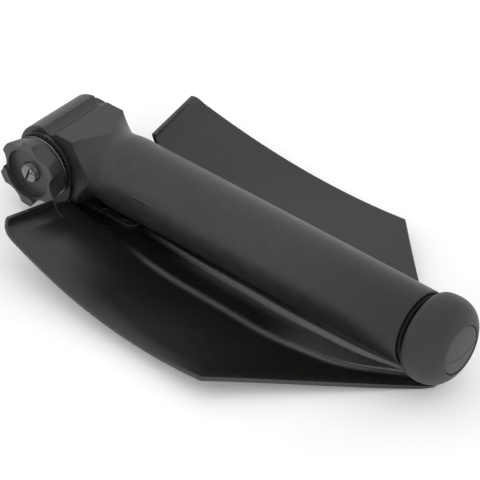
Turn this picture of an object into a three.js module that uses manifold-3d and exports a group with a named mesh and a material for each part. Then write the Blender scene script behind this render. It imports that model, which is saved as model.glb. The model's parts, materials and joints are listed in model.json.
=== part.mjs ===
// Folding camp shovel: a steel spade blade hinged to a hollow moulded handle,
// with a clamping knob on the hinge bolt, a telescoping inner tube with a
// twist-lock expander, and a saw stored inside the handle.
// Millimetres. Parts are drawn about the hinge-bolt axis, midway between the
// head's sides; ORIGIN_SHIFT then puts the origin at the centre of the
// footprint, at its lowest point.
// +X runs along the handle to the pommel, -Y is the knob side, +Z is up
// (away from the folded blade).
import * as THREE from 'three';
import { mergeVertices } from 'three/addons/utils/BufferGeometryUtils.js';
import Module from 'manifold-3d';

const { clamp, degToRad, lerp, smoothstep } = THREE.MathUtils;
const wasm = await Module();
wasm.setup();

// ---- shared dimensions ---------------------------------------------------
const ORIGIN_SHIFT = [-108.305, 0, 27.37];
const AXIS_Z = 0.4; // height of the handle tube axis above the bolt axis
const BOLT_R = 4.8;
const BUSH_BORE_R = 6.75; // hole through the head for the bushing
const EAR_IN = 18.25; // inner faces of the bracket ears, either side of y = 0
const EAR_T = 2;
const WEB_TOP = -19.4; // upper face of the bracket web and tongue
const WEB_T = 2;
const SHEET_T = 2; // blade sheet thickness
const RIVETS = [[28.5, -7], [28.5, 7], [42, -7], [42, 7]]; // x, y
const RIVET_HOLE_R = 2.6;

// ---- solid helpers -------------------------------------------------------
function signedVolume(geometry) {
  const position = geometry.getAttribute('position');
  const index = geometry.getIndex();
  const corners = [new THREE.Vector3(), new THREE.Vector3(), new THREE.Vector3()];
  let volume = 0;
  for (let i = 0; i < index.count; i += 3) {
    corners.forEach((corner, k) => corner.fromBufferAttribute(position, index.getX(i + k)));
    volume += corners[0].dot(corners[1].cross(corners[2])) / 6;
  }
  return volume;
}

// Welds a closed geometry, drops collapsed triangles and faces it outwards.
function toSolid(source) {
  for (const name of Object.keys(source.attributes)) {
    if (name !== 'position') source.deleteAttribute(name);
  }
  const welded = mergeVertices(source, 1e-4);
  const index = welded.getIndex().array;
  const kept = [];
  for (let i = 0; i < index.length; i += 3) {
    const [a, b, c] = index.slice(i, i + 3);
    if (a !== b && b !== c && a !== c) kept.push(a, b, c);
  }
  welded.setIndex(kept);
  if (signedVolume(welded) < 0) {
    for (let i = 0; i < kept.length; i += 3) {
      [kept[i + 1], kept[i + 2]] = [kept[i + 2], kept[i + 1]];
    }
  }
  return new wasm.Manifold(new wasm.Mesh({
    numProp: 3,
    vertProperties: new Float32Array(welded.getAttribute('position').array),
    triVerts: new Uint32Array(kept),
  }));
}

function toGeometry(solid) {
  const mesh = solid.getMesh();
  const geometry = new THREE.BufferGeometry();
  const positions = new Float32Array(mesh.vertProperties);
  geometry.setAttribute('position', new THREE.BufferAttribute(positions, 3));
  geometry.setIndex(new THREE.BufferAttribute(new Uint32Array(mesh.triVerts), 1));
  geometry.computeVertexNormals();
  return geometry;
}

function box(x0, x1, y0, y1, z0, z1) {
  const geometry = new THREE.BoxGeometry(x1 - x0, y1 - y0, z1 - z0);
  geometry.translate((x0 + x1) / 2, (y0 + y1) / 2, (z0 + z1) / 2);
  return toSolid(geometry);
}

// Turned profiles are lists of [axial, radius]. One that starts or ends
// off the axis is closed back to its first point.
function lathe(profile, segments) {
  const points = profile.map(([axial, radius]) => new THREE.Vector2(radius, axial));
  if (profile[0][1] > 0 || profile.at(-1)[1] > 0) points.push(points[0].clone());
  return new THREE.LatheGeometry(points, segments);
}
const rod = (start, end, radius) => [[start, 0], [start, radius], [end, radius], [end, 0]];
const tube = (start, end, inner, outer) =>
  [[start, inner], [start, outer], [end, outer], [end, inner]];

// about the handle tube axis
const turnX = (profile, segments) =>
  toSolid(lathe(profile, segments).rotateZ(-Math.PI / 2).translate(0, 0, AXIS_Z));
// about the hinge-bolt axis
const turnY = (profile, segments) => toSolid(lathe(profile, segments));
const turnZ = (profile, segments, x, y) =>
  toSolid(lathe(profile, segments).rotateX(Math.PI / 2)).translate([x, y, 0]);

function extrude(outline, depth) {
  const shape = new THREE.Shape(outline.map(([u, v]) => new THREE.Vector2(u, v)));
  return new THREE.ExtrudeGeometry(shape, { depth, bevelEnabled: false });
}
// outline of [x, z], extruded from y0 to y1
const slabY = (outline, y0, y1) =>
  toSolid(extrude(outline, y1 - y0).rotateX(Math.PI / 2).translate(0, y1, 0));

// arc centred on x = 0, angles in degrees
function arc(centreZ, radius, startAngle, endAngle, steps) {
  return Array.from({ length: steps + 1 }, (_, i) => {
    const angle = degToRad(startAngle + (endAngle - startAngle) * i / steps);
    return [radius * Math.cos(angle), centreZ + radius * Math.sin(angle)];
  });
}

// linear interpolation in rows of [station, value]; x lies within the stations
function interpolate(x, rows) {
  const next = rows.findIndex(([station]) => x <= station);
  const [x0, value0] = rows[next - 1];
  const [x1, value1] = rows[next];
  return lerp(value0, value1, (x - x0) / (x1 - x0));
}

const drillRivetHoles = solid => RIVETS.reduce(
  (rest, [x, y]) => rest.subtract(turnZ(rod(-30, -10, RIVET_HOLE_R), 20, x, y)), solid);

// ---- handle housing ------------------------------------------------------
const HEAD_HALF = 17.95; // half width of the hinge head
const NOSE_R = 19; // about the bolt axis
const HEAD_TOP = 18.95; // top and bottom flats, either side of the bolt axis
const TUBE_R_HEAD = 18.95; // outer tube radius behind the head
const TUBE_R_END = 18.3; // outer tube radius at its mouth
const TUBE_END = 212.4; // tube mouth
const BORE_R = 16;
const BORE_START = 26;
const RING_SEAT_R = 17; // counterbore for the mouth ring
const RING_SEAT_X = 205.8;

// [x, z]: round nose, cross flute, then the flats
const HEAD_OUTLINE = [
  ...arc(0, NOSE_R, 270, 97, 30),
  [-1.1, 17.75], [0.6, 17], [2.4, 16.7], [4.2, 17.1], [5.9, HEAD_TOP],
  [40, HEAD_TOP], [40, -HEAD_TOP], [0, -HEAD_TOP],
];
// [x, radius] where the head's envelope and the tube share one surface
const NECK = [[27.5, 18.1], [31, 18.5], [36, TUBE_R_HEAD]];
const HEAD_ENVELOPE = [
  [-22, 0], [-22, 27.5], [16, 27.5],
  [16.6, 26.4], [18, 23.9], [19.7, 21.9], [21.8, 19.9], [24.2, 18.5],
  ...NECK, [45, TUBE_R_HEAD], [45, 0],
];
const TUBE_PROFILE = [
  [20, 0], [20, 17.2], [24.2, 17.7], ...NECK,
  [TUBE_END - 1, TUBE_R_END + 0.05], [TUBE_END, TUBE_R_END - 0.7], [TUBE_END, 0],
];
const BORE_PROFILE = [
  [BORE_START, 0], [BORE_START, BORE_R - 2], [BORE_START + 2, BORE_R],
  [RING_SEAT_X, BORE_R], [RING_SEAT_X, RING_SEAT_R],
  [TUBE_END + 1, RING_SEAT_R], [TUBE_END + 1, 0],
];

function handleHousing() {
  return slabY(HEAD_OUTLINE, -HEAD_HALF, HEAD_HALF)
    .intersect(turnX(HEAD_ENVELOPE, 48))
    .add(turnX(TUBE_PROFILE, 48))
    .subtract(turnX(BORE_PROFILE, 48))
    .subtract(turnY(rod(-HEAD_HALF - 1, HEAD_HALF + 1, BUSH_BORE_R), 24));
}

// ---- blade ---------------------------------------------------------------
const BLADE_X0 = 27; // where the tread curls meet the face
const CURL_R = 8;
const CURL_START = degToRad(18);
const SIDE_X0 = 24.9; // where the side curves begin
const SIDE_Z0 = -1.44;
const SIDE_HALF = 69.8;
const SIDE_BOW = 7.08; // outward bow of the side in plan
const EDGE_SAG = 14.36; // drop of the side curve's control point
const CORNER_X = 148.5;
const CORNER_Y = 75;
const CORNER_Z = -15;
const TIP_X = 223.6;
const TIP_HALF = 3;
const TIP_Z = -25.4;
const TROUGH_Z = -21.7; // trough floor at x = TROUGH_X
const TROUGH_X = 25;
const TROUGH_SLOPE = 0.018; // fall of the floor per mm of X
const RELIEF_X = 26.9; // sheet between the treads is cut back to here
const RELIEF_HALF = 35.6;
const TONGUE_X = 13; // tongue of the sheet under the head
const TONGUE_HALF = 20.4;

// [x, z] of the line where the two wings would meet
const CENTRE_LINE = [
  [20, -19.4], [25, -19.5], [60, -20.6], [100, -21.6], [150, -23], [190, -24.6], [TIP_X, -25.3],
];
// [x, half width] of the central trough
const TROUGH = [
  [20, 26], [150, 26], [163, 26], [174, 24], [182, 22], [192, 17.5], [203, 10], [212, 3],
  [TIP_X, 1],
];
// [curl angle in degrees, half width], from the tread's rim to the face
const CURL_STATIONS = [[86, 65.6], [72, 67.4], [58, 68.6], [44, 69.3], [31, 69.7]];
// x of the rows across the face
const FACE_STATIONS = [
  BLADE_X0, 31, 36, 43, 52, 63, 76, 90, 105, 120, 135,
  CORNER_X, 158, 168, 178, 187, 196, 205, 213, TIP_X,
];
// y of the inner grid columns, squeezed where the blade is narrower than FULL_HALF
const INNER_COLUMNS = [0, 7, 13, 17, 20, 23, 26, 34];
const FULL_HALF = 62;
const OUTER_STEPS = 5; // even steps from the last inner column to the edge
const LAST_INNER = INNER_COLUMNS.length - 1;
const COLUMNS = LAST_INNER + OUTER_STEPS; // on each side of y = 0

const alongSide = x => (x - SIDE_X0) / (CORNER_X - SIDE_X0);
const alongTip = x => (x - CORNER_X) / (TIP_X - CORNER_X);

function edgeZ(x) {
  if (x > CORNER_X) return lerp(CORNER_Z, TIP_Z, alongTip(x));
  const t = alongSide(x);
  const control = (SIDE_Z0 + CORNER_Z) / 2 - EDGE_SAG;
  return SIDE_Z0 * (1 - t) ** 2 + 2 * t * (1 - t) * control + CORNER_Z * t * t;
}

function halfWidth(x) {
  if (x > CORNER_X) {
    return CORNER_Y * (1 - alongTip(x)) + TIP_HALF * smoothstep(x, CORNER_X, TIP_X);
  }
  const t = alongSide(x);
  return lerp(SIDE_HALF, CORNER_Y, t) + SIDE_BOW * t * (1 - t);
}

// upper surface: straight wings blended into the central trough
function bladeZ(x, y) {
  const offset = Math.abs(y);
  const centreZ = interpolate(x, CENTRE_LINE);
  const wing = lerp(centreZ, edgeZ(x), offset / halfWidth(x));
  const share = offset / interpolate(x, TROUGH);
  if (share >= 1) return wing;
  const floor = Math.min(TROUGH_Z - TROUGH_SLOPE * (x - TROUGH_X), centreZ);
  return lerp(floor, wing, Math.max(0, 2 * share - 1) ** 1.6);
}

function columnY(column, half) {
  const squeeze = Math.min(1, half / FULL_HALF);
  if (column <= LAST_INNER) return INNER_COLUMNS[column] * squeeze;
  const inner = INNER_COLUMNS[LAST_INNER] * squeeze;
  return inner + (half - inner) * (column - LAST_INNER) / OUTER_STEPS;
}

function sheetRow(half, pointAt) {
  const row = [];
  for (let j = -COLUMNS; j <= COLUMNS; j++) {
    row.push(pointAt(Math.sign(j) * columnY(Math.abs(j), half)));
  }
  return row;
}

// Bends a gridded unit box; place(along 0..1, across -0.5..0.5, onTop) gives each vertex.
function bentSheet(rowSteps, columnSteps, place) {
  const geometry = new THREE.BoxGeometry(1, 1, 1, rowSteps, columnSteps, 1);
  const position = geometry.getAttribute('position');
  for (let i = 0; i < position.count; i++) {
    const point = place(position.getX(i) + 0.5, position.getY(i), position.getZ(i) > 0);
    position.setXYZ(i, point.x, point.y, point.z);
  }
  return toSolid(geometry);
}

function bladeSheet() {
  const curlRows = CURL_STATIONS.map(([degrees, half]) => {
    const angle = degToRad(degrees);
    const x = BLADE_X0 - CURL_R * (Math.sin(angle) - Math.sin(CURL_START));
    const rise = CURL_R * (Math.cos(CURL_START) - Math.cos(angle));
    return sheetRow(half, y => new THREE.Vector3(x, y, bladeZ(BLADE_X0, y) + rise));
  });
  const faceRows = FACE_STATIONS.map(
    x => sheetRow(halfWidth(x), y => new THREE.Vector3(x, y, bladeZ(x, y))));
  const rows = [...curlRows, ...faceRows];
  const lastRow = rows.length - 1;
  const at = (i, j) => rows[clamp(i, 0, lastRow)][clamp(j, 0, 2 * COLUMNS)];
  return bentSheet(lastRow, 2 * COLUMNS, (along, across, onTop) => {
    const i = Math.round(along * lastRow);
    const j = Math.round((across + 0.5) * 2 * COLUMNS);
    const point = at(i, j).clone();
    if (onTop) return point;
    const tangentX = at(i + 1, j).clone().sub(at(i - 1, j));
    const tangentY = at(i, j + 1).clone().sub(at(i, j - 1));
    return point.addScaledVector(tangentX.cross(tangentY).normalize(), -SHEET_T);
  });
}

// strip continuing the sheet from the face towards -X
function sheetStrip(x0, x1, half, columnSteps) {
  return bentSheet(2, columnSteps, (along, across, onTop) => {
    const x = x0 + along * (x1 - x0);
    const y = across * 2 * half;
    const slope = TROUGH_SLOPE + 0.3 * smoothstep(Math.abs(y), 17, 32);
    const z = bladeZ(BLADE_X0, y) + (BLADE_X0 - x) * slope;
    return { x, y, z: z - (onTop ? 0.02 : SHEET_T) };
  });
}

function blade() {
  return drillRivetHoles(bladeSheet()
    .subtract(box(-10, RELIEF_X, -RELIEF_HALF, RELIEF_HALF, -60, 30))
    .add(sheetStrip(18.2, 27.6, RELIEF_HALF, 24))
    .add(sheetStrip(TONGUE_X, 18.6, TONGUE_HALF, 14)));
}

// ---- hinge bracket and rivets --------------------------------------------
const EAR_R = 16.4;
const EAR_DROP = -7.4; // centre height of the ear's lower arc
const SQUARE_HOLE_HALF = 5.15;
const EAR_OUTLINE = [...arc(EAR_DROP, EAR_R, 180, 360, 20), ...arc(0, EAR_R, 0, 180, 20)];
// [x, y] of the tongue riveted to the blade
const TONGUE_OUTLINE = [
  [8, -16], [15, -12.4], [46.5, -12.4], [49.5, -9.4],
  [49.5, 9.4], [46.5, 12.4], [15, 12.4], [8, 16],
];

function hingeBracket() {
  const tongue = extrude(TONGUE_OUTLINE, WEB_T).translate(0, 0, WEB_TOP - WEB_T);
  const square = SQUARE_HOLE_HALF;
  return drillRivetHoles(slabY(EAR_OUTLINE, -EAR_IN - EAR_T, -EAR_IN)
    .add(slabY(EAR_OUTLINE, EAR_IN, EAR_IN + EAR_T))
    .add(box(-9.5, 10.5, -EAR_IN - 0.5, EAR_IN + 0.5, WEB_TOP - WEB_T, WEB_TOP))
    .add(toSolid(tongue))
    .subtract(turnY(rod(-EAR_IN - 3, -EAR_IN + 1, BOLT_R + 0.25), 24))
    .subtract(box(-square, square, EAR_IN - 1, EAR_IN + 3, -square, square)));
}

function bracketRivet(x, y) {
  const shankR = 2.4;
  const headR = 3.8;
  const under = bladeZ(x, y) - SHEET_T - 0.3;
  const over = WEB_TOP + 0.15;
  return turnZ([
    [under - 0.5, 0], [under - 0.5, 3], [under, headR], [under, shankR],
    [over, shankR], [over, headR], [WEB_TOP + 0.55, 3.2], [WEB_TOP + 0.65, 0],
  ], 20, x, y);
}

// ---- bolt, bushing and washers -------------------------------------------
const BOLT_TIP = -32;
const BOLT_HEAD = 21.9; // underside of the head
const BOLT_SQUARE_HALF = 4.85;
const THRUST_WASHER_AT = [1, 0, -0.9]; // loose washer, hanging off centre on the bolt

function hingeBolt() {
  const square = BOLT_SQUARE_HALF;
  const slot = box(-0.55, 0.55, -32.7, -31.1, -6, 6).rotate([0, 28, 0]);
  return turnY([
    [BOLT_TIP, 0], [BOLT_TIP, BOLT_R - 0.5], [BOLT_TIP + 0.5, BOLT_R], [BOLT_HEAD, BOLT_R],
    [BOLT_HEAD, 9], [23.4, 9], [24.8, 7.2], [25.6, 4], [25.9, 0],
  ], 32)
    .add(box(-square, square, 18.6, 22.2, -square, square))
    .subtract(slot);
}

const boltBushing = () => turnY(tube(-17.9, 17.9, BOLT_R + 0.2, BUSH_BORE_R - 0.15), 24);
const boltHeadWasher = () => turnY(tube(20.5, 21.65, 7.1, 11), 24);

function lockWasher() {
  const teeth = 24;
  const outline = [];
  for (let i = 0; i < 2 * teeth; i++) {
    const angle = i * Math.PI / teeth;
    const radius = i % 2 ? 15.6 : 16.5; // root : crest
    outline.push([radius * Math.cos(angle), radius * Math.sin(angle)]);
  }
  return slabY(outline, -21.55, -20.55).subtract(turnY(rod(-23, -19, BOLT_R + 0.3), 24));
}

function thrustWasher() {
  return turnY([
    [-22.5, 6.3], [-22.5, 16.1], [-22.3, 16.3], [-22, 16.3], [-21.9, 16.2], [-21.9, 6.3],
  ], 28).translate(THRUST_WASHER_AT);
}

// ---- locking knob --------------------------------------------------------
const KNOB_BACK = -22.95; // face towards the head
const KNOB_FRONT = -32.15;
const KNOB_RAISED = -34.1; // raised part of the front face, beyond a chord
const KNOB_CHORD = 9.3; // distance of that chord from the bolt axis
const KNOB_CHORD_ANGLE = 235.5; // direction of that chord, degrees from +X towards +Z
const KNOB_R = 17.8;
const KNOB_DEPTH = 3.2; // scallop depth at the front
const LOBE_PITCH = 60; // degrees
const LOBE_PHASE = 88;
const SCALLOP_HALF_ANGLE = 22;
const SCALLOP_CENTRE = 24.37; // scallop circle centre from the bolt axis
const SCALLOP_R = 9.7723;

// round lobes with scallops between them, sampled every 6 degrees
function knobOutline(radius, depth) {
  const outline = [];
  for (let degrees = 0; degrees < 360; degrees += 6) {
    const inLobe = ((degrees - LOBE_PHASE) % LOBE_PITCH + LOBE_PITCH) % LOBE_PITCH;
    const offset = Math.abs(inLobe - LOBE_PITCH / 2);
    let bite = 0;
    if (offset < SCALLOP_HALF_ANGLE) {
      const along = SCALLOP_CENTRE * Math.cos(degToRad(offset));
      const aside = SCALLOP_CENTRE * Math.sin(degToRad(offset));
      const reach = along - Math.sqrt(SCALLOP_R ** 2 - aside ** 2);
      bite = clamp((KNOB_R - reach) / KNOB_DEPTH, 0, 1);
    }
    const r = radius - depth * bite;
    outline.push([r * Math.cos(degToRad(degrees)), r * Math.sin(degToRad(degrees))]);
  }
  return outline;
}

function lockingKnob() {
  const faceCut = box(-30, KNOB_CHORD, KNOB_FRONT - 10, KNOB_FRONT, -30, 30)
    .rotate([0, 360 - KNOB_CHORD_ANGLE, 0]);
  return slabY(knobOutline(KNOB_R, KNOB_DEPTH), KNOB_RAISED, -29.6)
    .add(slabY(knobOutline(17.1, 2.2), -29.7, -26.8))
    .add(slabY(knobOutline(16.5, 1.2), -26.9, -24.2))
    .add(turnY(rod(-24.3, KNOB_BACK, 15.9), 28))
    .subtract(faceCut)
    .subtract(turnY(rod(KNOB_RAISED - 1, -29.4, 13.1), 28)) // front recess
    .subtract(turnY(rod(-30, -20, 5.1), 24)) // bolt hole
    .subtract(turnY(rod(-27.6, -20, 8.3), 24)); // insert pocket
}

const knobInsert = () => turnY(tube(-27.4, -23, BOLT_R + 0.25, 8.05), 24);

// ---- twist-lock expander -------------------------------------------------
const SLEEVE_END = 45;
const SLEEVE_STEP = 41.5; // the sleeve's inner taper ends here
const CONE = { start: 28.5, chamfer: 29.2, end: 38.5, gap: 0.3, boreR: 4.6 };
const sleeveTaper = x => 11 + (SLEEVE_STEP - x) * 0.17; // inner radius

function expanderSleeve() {
  let sleeve = turnX([
    [31, sleeveTaper(31)], [31, 15.6], [31.4, 15.8], [SLEEVE_END, 15.8], [SLEEVE_END, 4.7],
    [SLEEVE_STEP, 4.7], [SLEEVE_STEP, sleeveTaper(SLEEVE_STEP)],
  ], 36);
  for (const angle of [0, 120, 240]) {
    const slit = box(30, 40, -0.8, 0.8, 10, 18).rotate([angle, 0, 0]);
    sleeve = sleeve.subtract(slit.translate([0, 0, AXIS_Z]));
  }
  return sleeve;
}

function expanderCone() {
  const coneR = x => sleeveTaper(x) - CONE.gap;
  return turnX([
    [CONE.start, CONE.boreR], [CONE.start, 12.2], [CONE.chamfer, coneR(CONE.chamfer)],
    [CONE.end, coneR(CONE.end)], [CONE.end, CONE.boreR],
  ], 36);
}

const coneStud = () => turnX([[29.2, 0], [29.2, 3.6], [29.9, 4.3], [57.5, 4.3], [57.5, 0]], 24);
const tubeFrontPlug = () =>
  turnX([[46, 4.55], [46, 14.9], [47.8, 14.9], [47.8, 12.9], [58, 12.9], [58, 4.55]], 28);

// ---- extension tube and pommel -------------------------------------------
const PIN_X = 225.2; // saw pins
const PIN_HEIGHTS = [-5, 5].map(z => AXIS_Z + z);

const tubeMouthRing = () =>
  turnX([[206, 15.35], [206, 16.8], [213.4, 16.8], [214, 16.3], [214, 15.35]], 36);
const extensionTube = () => turnX(tube(48.1, 227.8, 13.2, 15.05), 36);
const pommel = () => turnX([
  [216.1, 15.3], [216.1, 19.3], [216.6, 20], [219.4, 20.9], [223, 21.2], [226.8, 20.7],
  [230.2, 19.2], [232.7, 16.9], [234.3, 14.4], [235, 12.9], [235, 12.15], [228.2, 12.15],
  [228.2, 15.3],
], 44);

const drillPinHoles = solid => PIN_HEIGHTS.reduce(
  (rest, z) => rest.subtract(turnY(rod(-14, 14, 1.7), 16).translate([PIN_X, 0, z])), solid);

// plug with a seal groove and a slot for the saw's end
function endPlug() {
  return drillPinHoles(turnX([
    [221, 0], [221, 11.5], [221.5, 11.9], [229.8, 11.9], [229.8, 10.7], [231.9, 10.7],
    [231.9, 11.9], [234.6, 11.9], [235.3, 11], [235.6, 8], [235.6, 0],
  ], 28).subtract(box(219, 229.5, -1, 1, AXIS_Z - 11.35, AXIS_Z + 11.35)));
}

const plugSeal = () => turnX([
  [230.05, 10.95], [230.05, 11.8], [230.4, 12.02], [231.3, 12.02], [231.65, 11.8],
  [231.65, 10.95],
], 28);

// ---- saw -----------------------------------------------------------------
const SAW = { end: 229.2, half: 11, rootZ: -7.6, teeth: 20, teethStart: 63, teethEnd: 212 };

function sawBlade() {
  const { end, half, rootZ, teeth, teethStart, teethEnd } = SAW;
  const pitch = (teethEnd - teethStart) / teeth;
  const outline = [[end, -half], [end, half], [76, half], [62, 5]];
  for (let i = 0; i < teeth; i++) {
    const x = teethStart + pitch * i;
    outline.push([x, rootZ], [x + pitch / 2, -half]);
  }
  outline.push([teethEnd, rootZ], [teethEnd + 2, -half]);
  return drillPinHoles(slabY(outline.map(([x, z]) => [x, z + AXIS_Z]), -0.6, 0.6));
}

const sawPin = z => turnY(
  [[-9.4, 0], [-9.4, 1.2], [-9.1, 1.5], [9.1, 1.5], [9.4, 1.2], [9.4, 0]], 16,
).translate([PIN_X, 0, z]);

// ---- materials -----------------------------------------------------------
const FINISHES = {
  housing: { color: 0x34373a, roughness: 0.62, metalness: 0 },
  brightSteel: { color: 0x8c8c88, roughness: 0.35, metalness: 1 },
  mouthRing: { color: 0x161718, roughness: 0.5, metalness: 0 },
  darkSheet: { color: 0x26272a, roughness: 0.42, metalness: 0.2 },
  rivet: { color: 0x2c2d2f, roughness: 0.4, metalness: 0.6 },
  bolt: { color: 0x77787a, roughness: 0.38, metalness: 1 },
  headWasher: { color: 0x2c2d2f, roughness: 0.4, metalness: 0.8 },
  lockWasher: { color: 0x17181a, roughness: 0.5, metalness: 0.6 },
  thrustWasher: { color: 0x6f7072, roughness: 0.3, metalness: 1 },
  knob: { color: 0x3a3c3e, roughness: 0.5, metalness: 0 },
  insert: { color: 0x8f7a3e, roughness: 0.4, metalness: 1 },
  expander: { color: 0x1b1c1d, roughness: 0.6, metalness: 0 },
  extensionTube: { color: 0x1d1e20, roughness: 0.5, metalness: 0 },
  pommel: { color: 0x303234, roughness: 0.7, metalness: 0 },
  endPlug: { color: 0x4a4c4e, roughness: 0.6, metalness: 0 },
  seal: { color: 0x0c0c0c, roughness: 0.8, metalness: 0 },
  saw: { color: 0x8a8b8c, roughness: 0.35, metalness: 1 },
};

// ---- assembly ------------------------------------------------------------
const root = new THREE.Group();

function add(name, solid, finish) {
  const geometry = toGeometry(solid.translate(ORIGIN_SHIFT));
  const mesh = new THREE.Mesh(geometry, new THREE.MeshStandardMaterial(FINISHES[finish]));
  mesh.name = name;
  root.add(mesh);
}

add('handle_housing', handleHousing(), 'housing');
add('bolt_bushing', boltBushing(), 'brightSteel');
add('tube_mouth_ring', tubeMouthRing(), 'mouthRing');
add('blade', blade(), 'darkSheet');
add('hinge_bracket', hingeBracket(), 'darkSheet');
RIVETS.forEach(([x, y], i) => add(`bracket_rivet_${i + 1}`, bracketRivet(x, y), 'rivet'));
add('hinge_bolt', hingeBolt(), 'bolt');
add('bolt_head_washer', boltHeadWasher(), 'headWasher');
add('lock_washer', lockWasher(), 'lockWasher');
add('thrust_washer', thrustWasher(), 'thrustWasher');
add('locking_knob', lockingKnob(), 'knob');
add('knob_insert', knobInsert(), 'insert');
add('expander_sleeve', expanderSleeve(), 'expander');
add('expander_cone', expanderCone(), 'expander');
add('cone_stud', coneStud(), 'brightSteel');
add('tube_front_plug', tubeFrontPlug(), 'expander');
add('extension_tube', extensionTube(), 'extensionTube');
add('pommel', pommel(), 'pommel');
add('end_plug', endPlug(), 'endPlug');
add('plug_seal', plugSeal(), 'seal');
add('saw_blade', sawBlade(), 'saw');
PIN_HEIGHTS.forEach((z, i) => add(`saw_pin_${i + 1}`, sawPin(z), 'brightSteel'));

export default root;
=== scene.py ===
"""Folding spade with a saw in its handle, shown folded.

The hinge bolt runs along Y and the clamp knob is on its -Y end, the near side. The handle runs
from the hinge toward +X and the blade lies under it. Shapes are in millimetres about the bolt.
"""
import json
import math

import bpy
import bmesh
import numpy as np
from mathutils import Matrix, Vector


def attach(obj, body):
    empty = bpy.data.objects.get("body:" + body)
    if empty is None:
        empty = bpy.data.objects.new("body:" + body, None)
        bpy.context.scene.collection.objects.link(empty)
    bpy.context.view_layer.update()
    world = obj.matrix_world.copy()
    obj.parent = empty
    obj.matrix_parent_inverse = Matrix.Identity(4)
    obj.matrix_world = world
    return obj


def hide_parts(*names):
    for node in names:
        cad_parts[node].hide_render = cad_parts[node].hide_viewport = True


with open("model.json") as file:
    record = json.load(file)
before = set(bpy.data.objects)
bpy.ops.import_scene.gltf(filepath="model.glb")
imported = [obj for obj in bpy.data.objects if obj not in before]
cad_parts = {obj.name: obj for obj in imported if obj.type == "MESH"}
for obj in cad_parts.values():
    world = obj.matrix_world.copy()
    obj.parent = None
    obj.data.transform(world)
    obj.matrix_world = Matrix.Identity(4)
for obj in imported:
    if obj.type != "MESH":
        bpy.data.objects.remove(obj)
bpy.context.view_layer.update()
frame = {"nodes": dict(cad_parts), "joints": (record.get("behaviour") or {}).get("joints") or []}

HINGE = np.array(next(j["pos_m"] for j in frame["joints"] if j["name"] == "blade_fold"), float)
MM = 0.001
TUBE_AXIS_Z = 0.4                      # the handle tube's axis is this far above the bolt
TUBE_CENTRE = (0, TUBE_AXIS_Z)         # y, z
GRADIENT_STEP = 0.004


# ---------------------------------------------------------------- meshes from fields
def to_object(name, points, faces, normals=None):
    """Smooth mesh object from points about the hinge and an array of equal-sided faces."""
    mesh = bpy.data.meshes.new(name)
    places = np.asarray(points, float) * MM + HINGE
    count, sides = faces.shape
    mesh.vertices.add(len(places))
    mesh.vertices.foreach_set("co", places.astype(np.float32).ravel())
    mesh.loops.add(count * sides)
    mesh.loops.foreach_set("vertex_index", faces.astype(np.int32).ravel())
    mesh.polygons.add(count)
    mesh.polygons.foreach_set("loop_start", (np.arange(count) * sides).astype(np.int32))
    mesh.update(calc_edges=True)
    mesh.validate()
    mesh.shade_smooth()
    if normals is not None:
        mesh.normals_split_custom_set_from_vertices([tuple(v) for v in normals])
    ob = bpy.data.objects.new(name, mesh)
    bpy.context.scene.collection.objects.link(ob)
    return ob


def gradient(field, points):
    slopes = np.empty_like(points)
    for axis in range(3):
        offset = np.zeros(3)
        offset[axis] = GRADIENT_STEP
        ahead, behind = points + offset, points - offset
        slopes[:, axis] = (field(*ahead.T) - field(*behind.T)) / (2 * GRADIENT_STEP)
    return slopes


def settle(field, points, rounds, longest):
    """Move points onto the surface field = 0, by at most `longest` in each round."""
    for _ in range(rounds):
        value, slope = field(*points.T), gradient(field, points)
        move = -value[:, None] * slope / np.maximum((slope * slope).sum(1), 1e-4)[:, None]
        size = np.linalg.norm(move, axis=1)
        points = points + move * np.minimum(1, longest / np.maximum(size, 1e-9))[:, None]
    return points


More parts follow.
